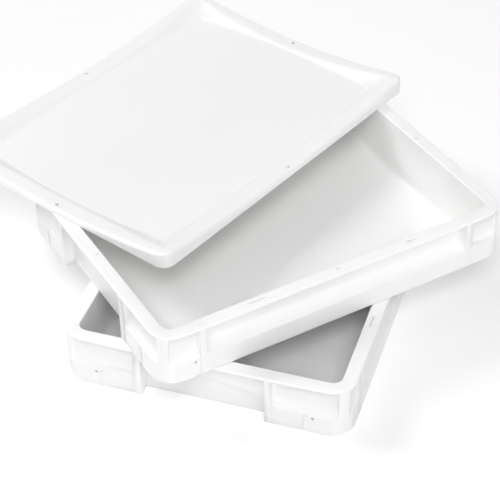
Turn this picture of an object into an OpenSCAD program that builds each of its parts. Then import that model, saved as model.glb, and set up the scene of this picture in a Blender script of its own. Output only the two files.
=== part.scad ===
/* [Tray] */
// Outside length of a tray
tray_l = 400; // [340:5:480]
// Outside width of a tray
tray_w = 297; // [270:3:360]
// Height of a tray from its foot to its rim
tray_h = 58; // [52:1:80]
// Radius of the upright outer corners
corner_r = 24; // [20:1:25]
// Width of the flat rim
rim_w = 14.4; // [13:0.2:16]
// Thickness of the rim plate
rim_t = 3; // [2.4:0.2:4]
// Thickness of the moulded walls
wall = 2.4; // [1.8:0.2:3]
// Thickness of the floor
floor_t = 2.6; // [2:0.2:4]
// Radius of the room's upright corners where its walls start to lean
room_r = 14; // [13:1:18]
// Depth of the upright wall below the mouth
mouth_depth = 19; // [12:1:24]
// How far the wall leans in between its upright part and the floor
wall_lean = 5; // [3:0.5:6]
// Radius of the cove between wall and floor
floor_cove = 7.5; // [5:0.5:7.5]
// Radius along the foot's outer edge
foot_edge = 1.5; // [1:0.5:2]

/* [Corner blocks] */
// Length of a corner block along the long side
long_block = 50; // [46:1:60]
// Length of a corner block along the short side
short_block = 85; // [76:1:95]
// Width of the upright rib at the open end of a block
end_rib = 7; // [5:0.5:9]
// Width of the plain post at the corner, along the long side
long_post = 11; // [10:1:14]
// Width of the plain post at the corner, along the short side
short_post = 12; // [11:1:16]
// Depth of the pocket in a block's face
pocket_depth = 7; // [6:0.5:8]
// Step of the pocket's lower band behind the block's face
band_step = 1.4; // [1:0.2:2]
// Radius of the pocket's upright corners
pocket_r = 3; // [2:0.5:4]
// Width of the small rib across the lower band
small_rib = 2.4; // [1.6:0.2:3]
// Distance of the small rib from the middle of the short side
small_rib_at = 104; // [100:1:108]
// Diameter of the drain holes
drain_d = 3; // [2:0.5:4]
// Height of the drain holes over the foot
drain_z = 17; // [14:0.5:18]
// Distance of the drain hole from the middle of the short side
short_drain_at = 111; // [110:1:113]
// Distance of the drain hole from the middle of the long side
long_drain_at = 162; // [160:1:164]

/* [Side recesses] */
// Height at which the recess starts to curve outwards
cove_top = 35; // [33:1:38]
// Height at which the curved shelf meets the lower band
cove_foot = 20; // [19.5:0.5:24]
// Radius of the recess's upright corners on the long side
recess_r = 8; // [4:0.5:10]
// Radius of the grip's upright corners on the short side
grip_r = 3; // [2:0.5:5]
// Height of the grip's lower panel at its ends
grip_sill = 15; // [12:1:20]
// Height of the arch of the grip's lower panel
grip_arch = 14; // [8:1:16]
// Depth of the grip's lower panel behind its upper wall
grip_step = 1.2; // [0.8:0.2:1.6]
// Distance between the stiffening ribs inside the foot
rib_pitch = 50; // [40:5:70]
// Thickness of the stiffening ribs
rib_t = 1.8; // [1.2:0.2:2.4]

/* [Rim holes] */
// Diameter of the hole at the middle of every side
rim_hole_d = 4; // [3:0.5:5]
// Distance of the holes from the outer face
rim_hole_in = 8.9; // [7:0.1:10]
// Length of the slots in the long sides
slot_l = 19; // [14:1:24]
// Width of the slots
slot_w = 2.4; // [1.6:0.2:3]
// Distance of the slots from the middle of the long side
slot_at = 90.5; // [60:0.5:110]
// Distance of the slots from the outer face
slot_in = 8.1; // [7:0.1:9]

/* [Lid] */
// Gap between a tray's rim and the lid's skirt all round
lid_gap = 1; // [0.6:0.1:1.5]
// Thickness of the lid
lid_wall = 2.4; // [1.8:0.2:3]
// Radius of the lid's outer corners
lid_r = 14; // [11:1:20]
// Depth of the skirt over a tray's rim at the middle of a side
skirt_lap = 3.2; // [2:0.2:4]
// How far the corners rise over the middle of the sides
corner_rise = 13; // [6:1:16]
// How far the panel drops into the mouth
panel_drop = 2.2; // [1.4:0.2:2.4]
// Clearance between the panel's step and the mouth
panel_clear = 0.8; // [0.4:0.1:1]
// Radius of the upright inner corners of the lid's raised border
border_r = 8; // [6:1:12]
// How much narrower the raised border gets for each millimetre that it rises
border_taper = 0.74; // [0.5:0.02:0.8]
// Angle of the slope from the raised border down to the panel
slope_angle = 31.5; // [28:0.5:38]
// Radius between the slope and the panel at the middle of a side
foot_r = 6; // [4:0.5:8]
// Radius between the slope and the panel at the corners
foot_corner_r = 28; // [16:1:32]
// Diameter of the hole at the middle of every side
lid_hole_d = 4; // [3:0.5:5]
// Distance of the holes from the lid's edge
lid_hole_in = 7.5; // [6:0.5:9]

/* [Arrangement] */
// Turn of the upper tray on the lower one
upper_turn = -41.9; // [-90:0.1:90]
// Place of the upper tray along the lower one
upper_x = 4; // [-20:1:20]
// Place of the upper tray across the lower one
upper_y = 0.5; // [-20:0.5:20]
// Turn of the lid against the lower tray
lid_turn = -21.1; // [-90:0.1:90]
// Place of the lid along the lower tray
lid_x = 100.5; // [0:0.5:120]
// Place of the lid across the lower tray
lid_y = 122.5; // [0:0.5:140]

/* [Hidden] */
$fn = 48;
eps = 0.5;
plastic = [0.96, 0.96, 0.95];
mouth_l = tray_l - 2 * rim_w;
mouth_w = tray_w - 2 * rim_w;
mouth_r = corner_r - rim_w;
recess_depth = rim_w - wall;
recess_l = tray_l - 2 * long_block;
grip_l = tray_w - 2 * short_block;
rim_under = tray_h - rim_t;
cove_steps = 8;
lid_l = tray_l + 2 * (lid_gap + lid_wall);
lid_w = tray_w + 2 * (lid_gap + lid_wall);
strip_z = skirt_lap + lid_wall;
panel_z = strip_z - panel_drop;
border_w = lid_gap + lid_wall + rim_w + panel_clear + lid_wall * tan(slope_angle / 2);
corner_w = border_w - border_taper * corner_rise;
slope_rise = corner_rise * (cos(slope_angle) - border_taper * sin(slope_angle));
foot_w = border_w + panel_drop / tan(slope_angle);
foot_corner_w = corner_w + (panel_drop + corner_rise) / tan(slope_angle);
mitre = 0.5;

// A flat rounded rectangle
module rounded(l, w, r) {
    square([l - 2 * r, w], center = true);
    square([l, w - 2 * r], center = true);
    for (x = [-1, 1], y = [-1, 1])
        translate([x * (l / 2 - r), y * (w / 2 - r)]) circle(r);
}

// A solid with rounded corners whose sides follow a list of [inset, height]
module basin(l, w, r, side) {
    tall = [for (p = side) [l / 2 - p[0], p[1]]];
    wide = [for (p = side) [w / 2 - p[0], p[1]]];
    round = concat([for (p = side) [r - p[0], p[1]]], [[0, side[len(side) - 1][1]], [0, side[0][1]]]);
    section(tall, w - 2 * r);
    rotate([0, 0, 90]) section(wide, l - 2 * r);
    for (x = [-1, 1], y = [-1, 1])
        translate([x * (l / 2 - r), y * (w / 2 - r), 0]) rotate_extrude() polygon(round);
}

// A symmetric cross section in XZ drawn out along Y
module section(half, span) {
    last = len(half) - 1;
    mirrored = [for (i = [last:-1:0]) [-half[i][0], half[i][1]]];
    rotate([90, 0, 0]) linear_extrude(span, center = true) polygon(concat(half, mirrored));
}

// The room inside a tray, or the outside of its tub when it is grown
module room(grow) {
    low = grow > 0 ? 0 : floor_t;
    cove_start = low + floor_cove + grow;
    cove = [for (i = [1:cove_steps])
        [wall_lean + floor_cove * (1 - cos(90 * i / cove_steps)),
         low + (floor_cove + grow) * (1 - sin(90 * i / cove_steps))]];
    flare = wall_lean * (mouth_depth + eps) / (tray_h - mouth_depth - cove_start);
    leaning = concat([[-flare, tray_h + eps], [wall_lean, cove_start]], cove);
    intersection() {
        basin(mouth_l + 2 * grow, mouth_w + 2 * grow, room_r + grow, leaning);
        linear_extrude(tray_h + 2 * eps)
            rounded(mouth_l + 2 * grow, mouth_w + 2 * grow, mouth_r + grow);
    }
}

// The full outline of a tray, or what is left of it inside its skin
module outline_block(inset, low, high) {
    e = low < 0 ? 0 : foot_edge;
    side = [[inset, high], [inset, low + e], [inset + e * 0.3, low + e * 0.3], [inset + e, low]];
    basin(tray_l, tray_w, corner_r, side);
}

// The curved shelf below a recess as [depth, height] points, from the deep end outwards
function shelf(deep, shallow, drop) = [for (i = [0:cove_steps])
    [shallow + (deep - shallow) * (1 + cos(180 * i / cove_steps)) / 2,
     cove_top - drop - (cove_top - cove_foot) * pow(i / cove_steps, 0.8)]];

// A recess in a long face, given as its length, depth, lower band, corners and growth
module face_recess(l, deep, band, r, grow) {
    top = rim_under + (grow > 0 ? rim_t : 0);
    foot = band > 0 ? [[band + grow, 2 * foot_edge - grow], [-eps, foot_edge - grow]] : [];
    close = band > 0 ? foot : [[-eps, cove_foot - grow]];
    curve = shelf(deep + grow, band > 0 ? band + grow : -eps, grow);
    outline = concat([[-eps, top], [deep + grow, top]], curve, close);
    intersection() {
        rotate([90, 0, 90]) linear_extrude(l + 2 * grow, center = true) polygon(outline);
        translate([0, 0, -eps]) linear_extrude(tray_h + 2 * eps)
            rounded(l + 2 * grow, 2 * (deep + grow), r + grow);
    }
}

// The grip in a short face, open down to the foot, with an arched lower panel
module grip(grow) {
    top = rim_under + (grow > 0 ? rim_t : 0);
    deep = recess_depth + grow;
    arch_r = (pow(grip_l / 2, 2) + pow(grip_arch, 2)) / (2 * grip_arch);
    translate([0, 0, -eps]) linear_extrude(top + eps)
        rounded(grip_l + 2 * grow, 2 * deep, grip_r + grow);
    intersection() {
        translate([-grip_l / 2 - grow, 0, -eps]) cube([grip_l + 2 * grow, deep + grip_step, tray_h]);
        translate([0, 0, grip_sill + grip_arch - arch_r]) rotate([-90, 0, 0])
            cylinder(r = arch_r, h = deep + grip_step, $fn = 180);
    }
}

// Everything that is cut into the outer faces, or the same grown by the wall
module outer_cuts(grow) {
    long_pocket = long_block - end_rib - long_post;
    short_pocket = short_block - end_rib - short_post;
    for (turn = [0, 180]) rotate([0, 0, turn]) {
        translate([0, -tray_w / 2, 0]) face_recess(recess_l, recess_depth, 0, recess_r, grow);
        for (side = [-1, 1])
            translate([side * (tray_l / 2 - long_post - long_pocket / 2), -tray_w / 2, 0])
                face_recess(long_pocket, pocket_depth, band_step, pocket_r, grow);
        rotate([0, 0, 90]) translate([0, -tray_l / 2, 0]) {
            grip(grow);
            for (side = [-1, 1]) translate([side * (tray_w / 2 - short_post - short_pocket / 2), 0, 0])
                face_recess(short_pocket, pocket_depth, band_step, pocket_r, grow);
        }
    }
}

// The small ribs that cross the lower band of the short blocks
module small_ribs() {
    for (x = [-1, 1], y = [-1, 1])
        translate([x * (tray_l / 2 - wall / 2), y * small_rib_at, (cove_foot + foot_edge) / 2])
            cube([wall, small_rib, cove_foot - foot_edge], center = true);
}

// The stiffening ribs between tub and foot, seen from below
module stiffeners() {
    count = floor(recess_l / 2 / rib_pitch);
    for (i = [-count:count])
        translate([i * rib_pitch, 0, tray_h / 2]) cube([rib_t, tray_w, tray_h], center = true);
    translate([0, 0, tray_h / 2]) cube([tray_l, rib_t, tray_h], center = true);
}

// The space between skin and tub, open downwards
module hollow() {
    difference() {
        outline_block(wall, -1, rim_under);
        room(wall);
        outer_cuts(wall);
        stiffeners();
    }
}

// Holes and slots through the rim
module rim_openings() {
    for (turn = [0, 180]) rotate([0, 0, turn]) {
        for (place = [[0, tray_w / 2 - rim_hole_in], [tray_l / 2 - rim_hole_in, 0]])
            translate([place[0], place[1], rim_under - eps]) cylinder(d = rim_hole_d, h = rim_t + 2 * eps);
        for (side = [-1, 1]) translate([side * slot_at, tray_w / 2 - slot_in, rim_under - eps])
            linear_extrude(rim_t + 2 * eps) rounded(slot_l, slot_w, slot_w / 2 - 0.01);
    }
}

// Drain holes in the lower band: in every short block, and in the left block of each long side
module drains() {
    drill = pocket_depth + wall;
    for (turn = [0, 180]) rotate([0, 0, turn]) {
        for (y = [-1, 1]) translate([-tray_l / 2 - eps, y * short_drain_at, drain_z])
            rotate([0, 90, 0]) cylinder(d = drain_d, h = drill + eps);
        translate([-long_drain_at, -tray_w / 2 - eps, drain_z])
            rotate([-90, 0, 0]) cylinder(d = drain_d, h = drill + eps);
    }
}

module tray() {
    color(plastic) difference() {
        union() {
            difference() {
                outline_block(0, 0, tray_h);
                outer_cuts(0);
            }
            small_ribs();
        }
        room(0);
        hollow();
        rim_openings();
        drains();
    }
}

// The radius of an arc that rises by a height over half of a length
function sag_r(l, rise) = (pow(l / 2, 2) + pow(rise, 2)) / (2 * rise);

// The lid's outline with a top that sags from the corners to the middle of each side
module lid_block(inset, lower) {
    difference() {
        translate([0, 0, inset > 0 ? -eps : 0]) linear_extrude(strip_z + corner_rise + eps)
            rounded(lid_l - 2 * inset, lid_w - 2 * inset, lid_r - inset);
        over_arc(lid_l, lid_w, lower);
        rotate([0, 0, 90]) over_arc(lid_w, lid_l, lower);
    }
}

// All that lies over the arc in which the front and back edges sag
module over_arc(l, reach, lower) {
    r = sag_r(l, corner_rise);
    translate([0, 0, strip_z + r]) rotate([90, 0, 0])
        cylinder(r = r + lower, h = reach + 2 * eps, center = true, $fn = 720);
}

// All that lies over a tilted surface along the back edge, which rises towards the corners
module over_tilt(l, reach, grow, tilt, inset, z, rise) {
    r = sag_r(l, rise);
    translate([0, reach / 2 - inset, z]) rotate([tilt - 90, 0, 0])
        translate([0, -r, 0]) cylinder(r = r + grow, h = 2 * lid_l, center = true, $fn = 720);
}

// All that lies over one step of the round between the slope and the panel
module over_foot(l, reach, grow, tilt) {
    run = tan(slope_angle / 2) - tan(tilt / 2);
    near = foot_w + foot_r * run;
    far = foot_corner_w + foot_corner_r * run;
    over_tilt(l, reach, grow, tilt, near, panel_z, sin(tilt) * (far - near));
}

// All that lies over the slope along the back edge of the panel
module over_slope(l, reach, grow) {
    intersection() {
        over_tilt(l, reach, grow, slope_angle, border_w, strip_z, slope_rise);
        over_foot(l, reach, grow, slope_angle * 2 / 3);
        over_foot(l, reach, grow, slope_angle / 3);
    }
}

// The recess inside the lid's raised border, or the same grown by the wall
module lid_recess(grow) {
    edge = corner_w - mitre - grow;
    intersection() {
        translate([0, 0, panel_z - grow]) linear_extrude(strip_z + corner_rise)
            rounded(lid_l - 2 * edge, lid_w - 2 * edge, border_r + mitre + grow);
        for_both_sides() over_slope(lid_l, lid_w, grow);
        rotate([0, 0, 90]) for_both_sides() over_slope(lid_w, lid_l, grow);
    }
}

// What its children have in common at the front and at the back
module for_both_sides() {
    intersection() {
        children();
        rotate([0, 0, 180]) children();
    }
}

module lid_piece() {
    color(plastic) difference() {
        lid_block(0, 0);
        lid_recess(0);
        difference() {
            lid_block(lid_wall, lid_wall);
            lid_recess(lid_wall);
        }
        for (turn = [0, 180]) rotate([0, 0, turn]) {
            translate([lid_l / 2 - lid_hole_in, 0, -eps]) cylinder(d = lid_hole_d, h = strip_z + 2 * eps);
            translate([0, lid_w / 2 - lid_hole_in, -eps]) cylinder(d = lid_hole_d, h = strip_z + 2 * eps);
        }
    }
}

module lower_tray() {
    tray();
}

module upper_tray() {
    translate([upper_x, upper_y, tray_h]) rotate([0, 0, upper_turn]) tray();
}

module lid() {
    translate([lid_x, lid_y, 2 * tray_h]) rotate([0, 0, lid_turn]) lid_piece();
}

lower_tray();
upper_tray();
lid();
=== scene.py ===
# %% [markdown]
# A proofing container: two identical trays moulded in white polypropylene and one moulded lid.
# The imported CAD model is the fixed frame. This script gives its mouldings the small radii and the satin
# skin of the real thing, and sets up the photographer's table, lights and camera around them.

# %% The frame
import math

import bmesh
import bpy
from mathutils import Matrix, Vector
from mathutils.bvhtree import BVHTree


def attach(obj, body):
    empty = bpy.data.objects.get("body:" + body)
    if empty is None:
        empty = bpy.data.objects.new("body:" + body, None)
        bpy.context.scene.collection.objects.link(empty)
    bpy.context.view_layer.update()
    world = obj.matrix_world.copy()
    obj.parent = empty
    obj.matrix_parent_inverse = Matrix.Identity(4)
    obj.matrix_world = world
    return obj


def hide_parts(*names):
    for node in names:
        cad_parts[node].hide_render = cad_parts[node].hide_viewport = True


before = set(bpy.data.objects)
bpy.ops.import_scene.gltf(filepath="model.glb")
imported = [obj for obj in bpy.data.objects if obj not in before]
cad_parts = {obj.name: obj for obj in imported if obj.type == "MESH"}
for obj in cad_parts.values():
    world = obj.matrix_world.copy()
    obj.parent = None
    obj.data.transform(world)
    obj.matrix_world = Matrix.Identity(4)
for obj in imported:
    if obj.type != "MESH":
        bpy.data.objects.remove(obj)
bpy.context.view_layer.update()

# %% [markdown]
# The camera. A long lens far away keeps the trays' sides almost parallel, as product photographs do.
# Its place and angles were worked out from the edges of the two trays, whose real sizes are known.

# %% The camera
IMAGE_SIDE = 500
SENSOR_WIDTH = 36.0
FOCAL_PIXELS = 1581.1
CAMERA_AT = Vector((-1.2321, -0.3868, 1.0985))
HEADING = math.radians(71.948)
LOOK_DOWN = math.radians(39.230)
ROLL = math.radians(-0.531)


def add_camera():
    """A camera that looks along HEADING, measured from +Y towards +X, and down by LOOK_DOWN."""
    forward = Vector((
        math.sin(HEADING) * math.cos(LOOK_DOWN),
        math.cos(HEADING) * math.cos(LOOK_DOWN),
        -math.sin(LOOK_DOWN),
    ))
    level = Vector((math.cos(HEADING), -math.sin(HEADING), 0))
    upright = level.cross(forward)
    right = math.cos(ROLL) * level + math.sin(ROLL) * upright
    up = math.cos(ROLL) * upright - math.sin(ROLL) * level
    bpy.ops.object.camera_add()
    camera = bpy.context.object
    camera.name = "camera"
    camera.matrix_world = Matrix((
        (right.x, up.x, -forward.x, CAMERA_AT.x),
        (right.y, up.y, -forward.y, CAMERA_AT.y),
        (right.z, up.z, -forward.z, CAMERA_AT.z),
        (0, 0, 0, 1),
    ))
    camera.data.sensor_width = SENSOR_WIDTH
    camera.data.lens = FOCAL_PIXELS * SENSOR_WIDTH / IMAGE_SIDE
    camera.data.clip_start = 0.01
    camera.data.clip_end = 100
    bpy.context.scene.camera = camera
    return camera


camera = add_camera()
print("lens", round(camera.data.lens, 1), "mm")

# %% [markdown]
# Colours and nodes. Colours are written as the sRGB hex values that a picture shows, and one function
# turns them into the linear values that the renderer works with. A second one adds a shader node.

# %% Colour and node helpers


def linear(hex_colour):
    """The linear RGBA of an sRGB hex colour such as #F4F4F2."""
    shares = [int(hex_colour[i:i + 2], 16) / 255 for i in (1, 3, 5)]
    return [s / 12.92 if s <= 0.04045 else ((s + 0.055) / 1.055) ** 2.4 for s in shares] + [1.0]


def add_node(tree, kind, links=None, **settings):
    """One shader node. Settings are its properties, or inputs by name; links join inputs to sockets."""
    node = tree.nodes.new(kind)
    for name, value in settings.items():
        if hasattr(node, name):
            setattr(node, name, value)
        else:
            node.inputs[name.replace("_", " ")].default_value = value
    for name, socket in (links or {}).items():
        tree.links.new(socket, node.inputs[name])
    return node


# %% [markdown]
# The table and the light. The object stands on white paper. A big softbox over the camera lights all that
# the camera sees, down to the floors of the trays. A window high up on the left, a little behind the trays,
# makes the soft shadows that fall to the right and to the front. A low fill lights the right-hand sides.
# The world is a dim light tent, but it is plain white to the camera, in reflections and through plastic.

# %% Floor, world and lamps
FLOOR_SIDE = 30.0
BRIGHT_PAPER = (1.08, 1.08, 1.08, 1.0)
WHITER = 0.25


def seen_directly(tree):
    """A socket that is 1 for camera, glossy and transmission rays, and 0 for the light on the object."""
    path = add_node(tree, "ShaderNodeLightPath").outputs
    seen = add_node(tree, "ShaderNodeMath", {0: path["Is Camera Ray"], 1: path["Is Glossy Ray"]},
                    operation="MAXIMUM")
    seen = add_node(tree, "ShaderNodeMath", {0: seen.outputs["Value"], 1: path["Is Transmission Ray"]},
                    operation="MAXIMUM")
    return seen.outputs["Value"]


def add_floor():
    """White paper. Seen directly it is a little whiter than the light makes it, and keeps its shadows."""
    bpy.ops.object.select_all(action="DESELECT")
    bpy.ops.mesh.primitive_plane_add(size=FLOOR_SIDE, location=(0, 0, 0))
    floor = bpy.context.object
    floor.name = "paper_floor"
    material = bpy.data.materials.new("matt white backdrop paper")
    material.use_nodes = True
    tree = material.node_tree
    paper = tree.nodes["Principled BSDF"]
    paper.inputs["Base Color"].default_value = linear("#FDFDFD")
    paper.inputs["Roughness"].default_value = 0.9
    paper.inputs["Specular IOR Level"].default_value = 0.1
    bright = add_node(tree, "ShaderNodeBsdfDiffuse", Color=BRIGHT_PAPER)
    white = add_node(tree, "ShaderNodeEmission", Strength=1.0)
    backdrop = add_node(tree, "ShaderNodeMixShader",
                        {1: bright.outputs["BSDF"], 2: white.outputs["Emission"]}, Fac=WHITER)
    surface = add_node(tree, "ShaderNodeMixShader", {
        "Fac": seen_directly(tree), 1: paper.outputs["BSDF"], 2: backdrop.outputs["Shader"]})
    tree.links.new(surface.outputs["Shader"], tree.nodes["Material Output"].inputs["Surface"])
    floor.data.materials.append(material)


def add_softbox(name, place, aim, size, watts):
    """A square area lamp at a place, turned to look at a point."""
    bpy.ops.object.light_add(type="AREA", location=place)
    lamp = bpy.context.object
    lamp.name = name
    lamp.data.shape = "SQUARE"
    lamp.data.size = size
    lamp.data.energy = watts
    direction = Vector(aim) - Vector(place)
    lamp.rotation_euler = direction.to_track_quat("-Z", "Y").to_euler()
    return lamp


def light_tent(strength):
    """Even light on everything, and plain white to camera, glossy and transmission rays."""
    world = bpy.data.worlds.new("light tent")
    world.use_nodes = True
    tree = world.node_tree
    background = tree.nodes["Background"]
    background.inputs["Color"].default_value = linear("#FFFFFF")
    level = add_node(tree, "ShaderNodeMapRange", {"Value": seen_directly(tree)},
                     To_Min=strength, To_Max=1.0)
    tree.links.new(level.outputs["Result"], background.inputs["Strength"])
    bpy.context.scene.world = world


TABLE_CENTRE = (0, 0, 0.06)
SOFTBOX_SIDE = 2.0

add_floor()
light_tent(0.36)
lamps = [
    add_softbox("camera softbox", (-2.9, -0.94, 3.5), TABLE_CENTRE, SOFTBOX_SIDE, 98),
    add_softbox("window softbox", (0.4, 3.8, 3.8), TABLE_CENTRE, SOFTBOX_SIDE, 98),
    add_softbox("low fill", (-2.4, -4.0, 1.2), TABLE_CENTRE, SOFTBOX_SIDE, 22),
]
bpy.context.scene.view_settings.view_transform = "Standard"
for lamp in lamps:
    print(lamp.name, round(lamp.data.energy), "W,", round(lamp.location.length, 1), "m away")

# %% [markdown]
# The plastic. Such trays are injection moulded in white polypropylene. The mould's surface is finely
# eroded, which leaves a satin skin with a fine grain. The melt leaves faint flow marks, broad patches where
# the skin is a little glossier or duller, and the plastic lets some light into itself. The grain is really
# about 0.1 mm. It is drawn at 1.2 mm, the finest that the picture can show. A pattern in the object's own
# coordinates needs no unwrapping, and runs the same way over all the faces.

# %% Moulded polypropylene
GRAIN = 0.0012
FLOW_MARKS = 0.06


def moulded_polypropylene(name, colour, glow_depth):
    """Satin white plastic. glow_depth is how far light travels in it, in metres."""
    material = bpy.data.materials.new(name)
    material.use_nodes = True
    tree = material.node_tree
    shader = tree.nodes["Principled BSDF"]
    place = add_node(tree, "ShaderNodeTexCoord").outputs["Object"]
    grain = add_node(tree, "ShaderNodeTexNoise", {"Vector": place}, Scale=1 / GRAIN, Detail=2.0)
    flow = add_node(tree, "ShaderNodeTexNoise", {"Vector": place}, Scale=1 / FLOW_MARKS, Detail=3.0)
    gloss = add_node(tree, "ShaderNodeMapRange", {"Value": flow.outputs["Fac"]},
                     From_Min=0.3, From_Max=0.7, To_Min=0.30, To_Max=0.42)
    bump = add_node(tree, "ShaderNodeBump", {"Height": grain.outputs["Fac"]},
                    Strength=0.12, Distance=0.0002)
    tree.links.new(gloss.outputs["Result"], shader.inputs["Roughness"])
    tree.links.new(bump.outputs["Normal"], shader.inputs["Normal"])
    shader.inputs["Base Color"].default_value = linear(colour)
    shader.inputs["IOR"].default_value = 1.49
    shader.inputs["Subsurface Weight"].default_value = 0.7
    shader.inputs["Subsurface Radius"].default_value = (1.0, 1.0, 1.0)
    shader.inputs["Subsurface Scale"].default_value = glow_depth
    return material


tray_plastic = moulded_polypropylene("white polypropylene, moulded tray", "#FDFDFC", 0.003)
lid_plastic = moulded_polypropylene("white polypropylene, moulded lid", "#FDFDFC", 0.0015)
print("plastics:", tray_plastic.name, "/", lid_plastic.name)

# %% [markdown]
# The pieces. The edges of a moulding that hands touch have a radius, which catches the light as
# a bright line. The CAD solids are sharp, so each is copied, and the copy's edges are rounded with a Bevel
# modifier. Each edge gets a weight, its share of the full radius, and an edge without weight stays sharp.
# A bevel needs a clean mesh: points that lie together are merged, flat areas are joined to single faces,
# and these are cut into well-shaped triangles, because a large face full of holes is filled badly.

# %% A merged copy of a CAD node
SAME_POINT = 0.0002
FLAT_ENOUGH = math.radians(0.3)


def merged_copy(node_name, piece_name):
    """A copy of a node at the origin, with its loose triangles merged into clean faces."""
    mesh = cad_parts[node_name].data.copy()
    mesh.materials.clear()
    piece = bpy.data.objects.new(piece_name, mesh)
    bpy.context.scene.collection.objects.link(piece)
    bpy.ops.object.select_all(action="DESELECT")
    piece.select_set(True)
    bpy.context.view_layer.objects.active = piece
    bpy.ops.object.mode_set(mode="EDIT")
    bpy.ops.mesh.select_all(action="SELECT")
    bpy.ops.mesh.remove_doubles(threshold=SAME_POINT)
    bpy.ops.mesh.select_all(action="SELECT")
    bpy.ops.mesh.dissolve_limited(angle_limit=FLAT_ENOUGH)
    bpy.ops.mesh.select_all(action="SELECT")
    bpy.ops.mesh.quads_convert_to_tris(quad_method="BEAUTY", ngon_method="BEAUTY")
    bpy.ops.object.mode_set(mode="OBJECT")
    print(piece_name, "merged to", len(piece.data.polygons), "faces")
    return piece


# %% [markdown]
# An edge is rounded only where it can be seen. A ray from its middle tells: the edge is seen if a ray in one
# of 25 directions upwards or sideways gets away without meeting the piece again.

# %% Which edges can be seen from outside
SHARP = math.radians(25)
LIFT = 0.0003
PAST_GRAZING = -0.3
TURNS = range(0, 360, 30)
RISES = (0.15, 1.0)
WAYS_OUT = [Vector((0, 0, 1))] + [
    Vector((math.cos(math.radians(turn)), math.sin(math.radians(turn)), rise)).normalized()
    for turn in TURNS for rise in RISES
]


def sharp_seen_edges(mesh, tree):
    """The sharp edges from which a straight line gets away upwards or sideways."""
    for edge in mesh.edges:
        if not edge.is_manifold or edge.calc_face_angle(0) < SHARP:
            continue
        middle = (edge.verts[0].co + edge.verts[1].co) / 2
        normal = (edge.link_faces[0].normal + edge.link_faces[1].normal).normalized()
        start = middle + normal * LIFT
        if any(way.dot(normal) > PAST_GRAZING and tree.ray_cast(start, way)[0] is None
               for way in WAYS_OUT):
            yield edge, middle


# %% [markdown]
# The rounding. After the bevel the narrow strips are shaded smooth and the flat faces have to stay flat, so
# a Weighted Normal modifier lets the large faces decide how the light falls near an edge.

# %% Rounding by weight
SMOOTH_BELOW = math.radians(30)
LARGE_FACE_WEIGHT = 90


def from_outline(x, y, length, width, radius):
    """Distance of a point from a rounded rectangle, negative inside it."""
    over_x = abs(x) - (length / 2 - radius)
    over_y = abs(y) - (width / 2 - radius)
    outside = math.hypot(max(over_x, 0), max(over_y, 0))
    return outside + min(max(over_x, over_y), 0) - radius


def round_edges(piece, width, segments, weigh):
    """Rounds the seen edges of a piece. weigh gives an edge's share of the width from its middle."""
    mesh = bmesh.new()
    mesh.from_mesh(piece.data)
    mesh.normal_update()
    tree = BVHTree.FromBMesh(mesh)
    weights = mesh.edges.layers.float.new("bevel_weight_edge")
    for edge, middle in sharp_seen_edges(mesh, tree):
        edge[weights] = weigh(middle, edge)
    mesh.to_mesh(piece.data)
    mesh.free()
    rounding = piece.modifiers.new("rounding", "BEVEL")
    rounding.width = width
    rounding.segments = segments
    rounding.limit_method = "WEIGHT"
    rounding.use_clamp_overlap = False
    bpy.ops.object.select_all(action="DESELECT")
    piece.select_set(True)
    bpy.context.view_layer.objects.active = piece
    bpy.ops.object.modifier_apply(modifier=rounding.name)
    bpy.ops.object.shade_smooth_by_angle(angle=SMOOTH_BELOW)
    even = piece.modifiers.new("flat faces stay flat", "WEIGHTED_NORMAL")
    even.keep_sharp = True
    even.weight = LARGE_FACE_WEIGHT
    bpy.ops.object.modifier_apply(modifier=even.name)
    print(piece.name, "rounded to", len(piece.data.polygons), "faces")


# %% [markdown]
# The trays. Only the rim is rounded: along its outline, where hands lift the tray, and along the mouth,
# which is wiped after each use. The real radius is about 1.5 mm.

# %% The trays
TRAY = (0.400, 0.297, 0.058)
TRAY_CORNER = 0.024
RIM = 0.0144
EDGE_NEAR = 0.0003
TRAY_EDGE = 0.0014
TRAY_EDGE_STEPS = 3


def tray_weights(to_tray):
    """Full rounding on the rim's outline and on the mouth, none on the fine edges below them."""
    def weigh(point, edge):
        p = to_tray @ point
        if p.z < TRAY[2] - EDGE_NEAR:
            return 0.0
        outside = from_outline(p.x, p.y, TRAY[0], TRAY[1], TRAY_CORNER)
        mouth = from_outline(p.x, p.y, TRAY[0] - 2 * RIM, TRAY[1] - 2 * RIM, TRAY_CORNER - RIM)
        return 1.0 if min(abs(outside), abs(mouth)) < EDGE_NEAR else 0.0
    return weigh


UPPER_TRAY_AT = Matrix.Translation((0.004, 0.0005, 0.058)) @ Matrix.Rotation(math.radians(-41.9), 4, "Z")
TRAY_PLACES = {"lower_tray": Matrix.Identity(4), "upper_tray": UPPER_TRAY_AT}

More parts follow.
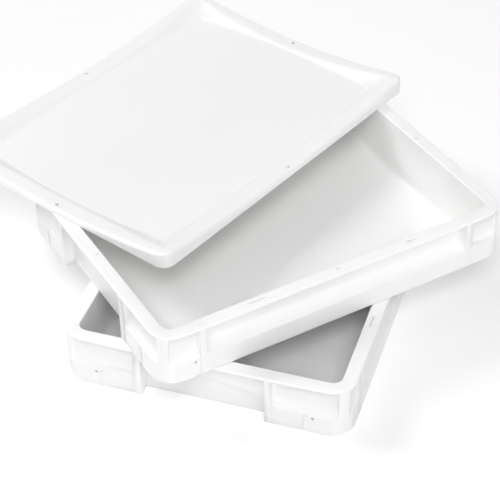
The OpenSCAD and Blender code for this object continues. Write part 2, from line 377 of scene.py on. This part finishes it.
for node_name, place in TRAY_PLACES.items():
    tray = merged_copy(node_name, node_name + "_moulding")
    round_edges(tray, TRAY_EDGE, TRAY_EDGE_STEPS, tray_weights(place.inverted()))
    tray.data.materials.append(tray_plastic)
    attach(tray, node_name)
    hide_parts(node_name)

# %% [markdown]
# The lid. Its raised border ends outwards in a full, round edge, which is the grip for lifting it, and gets
# the largest radius. Inwards the border turns down over a softer crest. The crest stays sharp at the very
# corners, where it runs into the outer edge, and so do the small holes in the border.

# %% The lid
LID = (0.4068, 0.3038)
LID_CORNER = 0.014
LID_EDGE = 0.0035
LID_EDGE_STEPS = 5
SKIRT_FOOT = 0.001
BORDER_IN = 0.001
BORDER_END = 0.030
CREST_TOP = 0.014
CREST_SHARE = 0.8
HOLE_IN = 0.0085
HOLE_CLEAR = 0.006
LID_AT = Matrix.Translation((0.1005, 0.1225, 0.116)) @ Matrix.Rotation(math.radians(-21.1), 4, "Z")
to_lid = LID_AT.inverted()


def lid_weights(point, edge):
    """Full rounding on the outer edge, and most of it on the crest inside the border."""
    p = to_lid @ point
    outside = from_outline(p.x, p.y, LID[0], LID[1], LID_CORNER)
    if abs(outside) < EDGE_NEAR:
        return 1.0 if p.z > SKIRT_FOOT else 0.0
    at_hole = min(math.hypot(abs(p.x) - LID[0] / 2 + HOLE_IN, p.y),
                  math.hypot(abs(p.y) - LID[1] / 2 + HOLE_IN, p.x)) < HOLE_CLEAR
    on_border = BORDER_IN < -outside < BORDER_END and SKIRT_FOOT < p.z < CREST_TOP
    return CREST_SHARE if on_border and edge.is_convex and not at_hole else 0.0


lid = merged_copy("lid", "lid_moulding")
round_edges(lid, LID_EDGE, LID_EDGE_STEPS, lid_weights)
lid.data.materials.append(lid_plastic)
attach(lid, "lid")
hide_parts("lid")

# %% [markdown]
# The CAD nodes stay in the frame under their dressed copies, and get the same plastic.

# %% The CAD nodes' finish
for node_name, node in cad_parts.items():
    node.data.materials.clear()
    node.data.materials.append(lid_plastic if node_name == "lid" else tray_plastic)
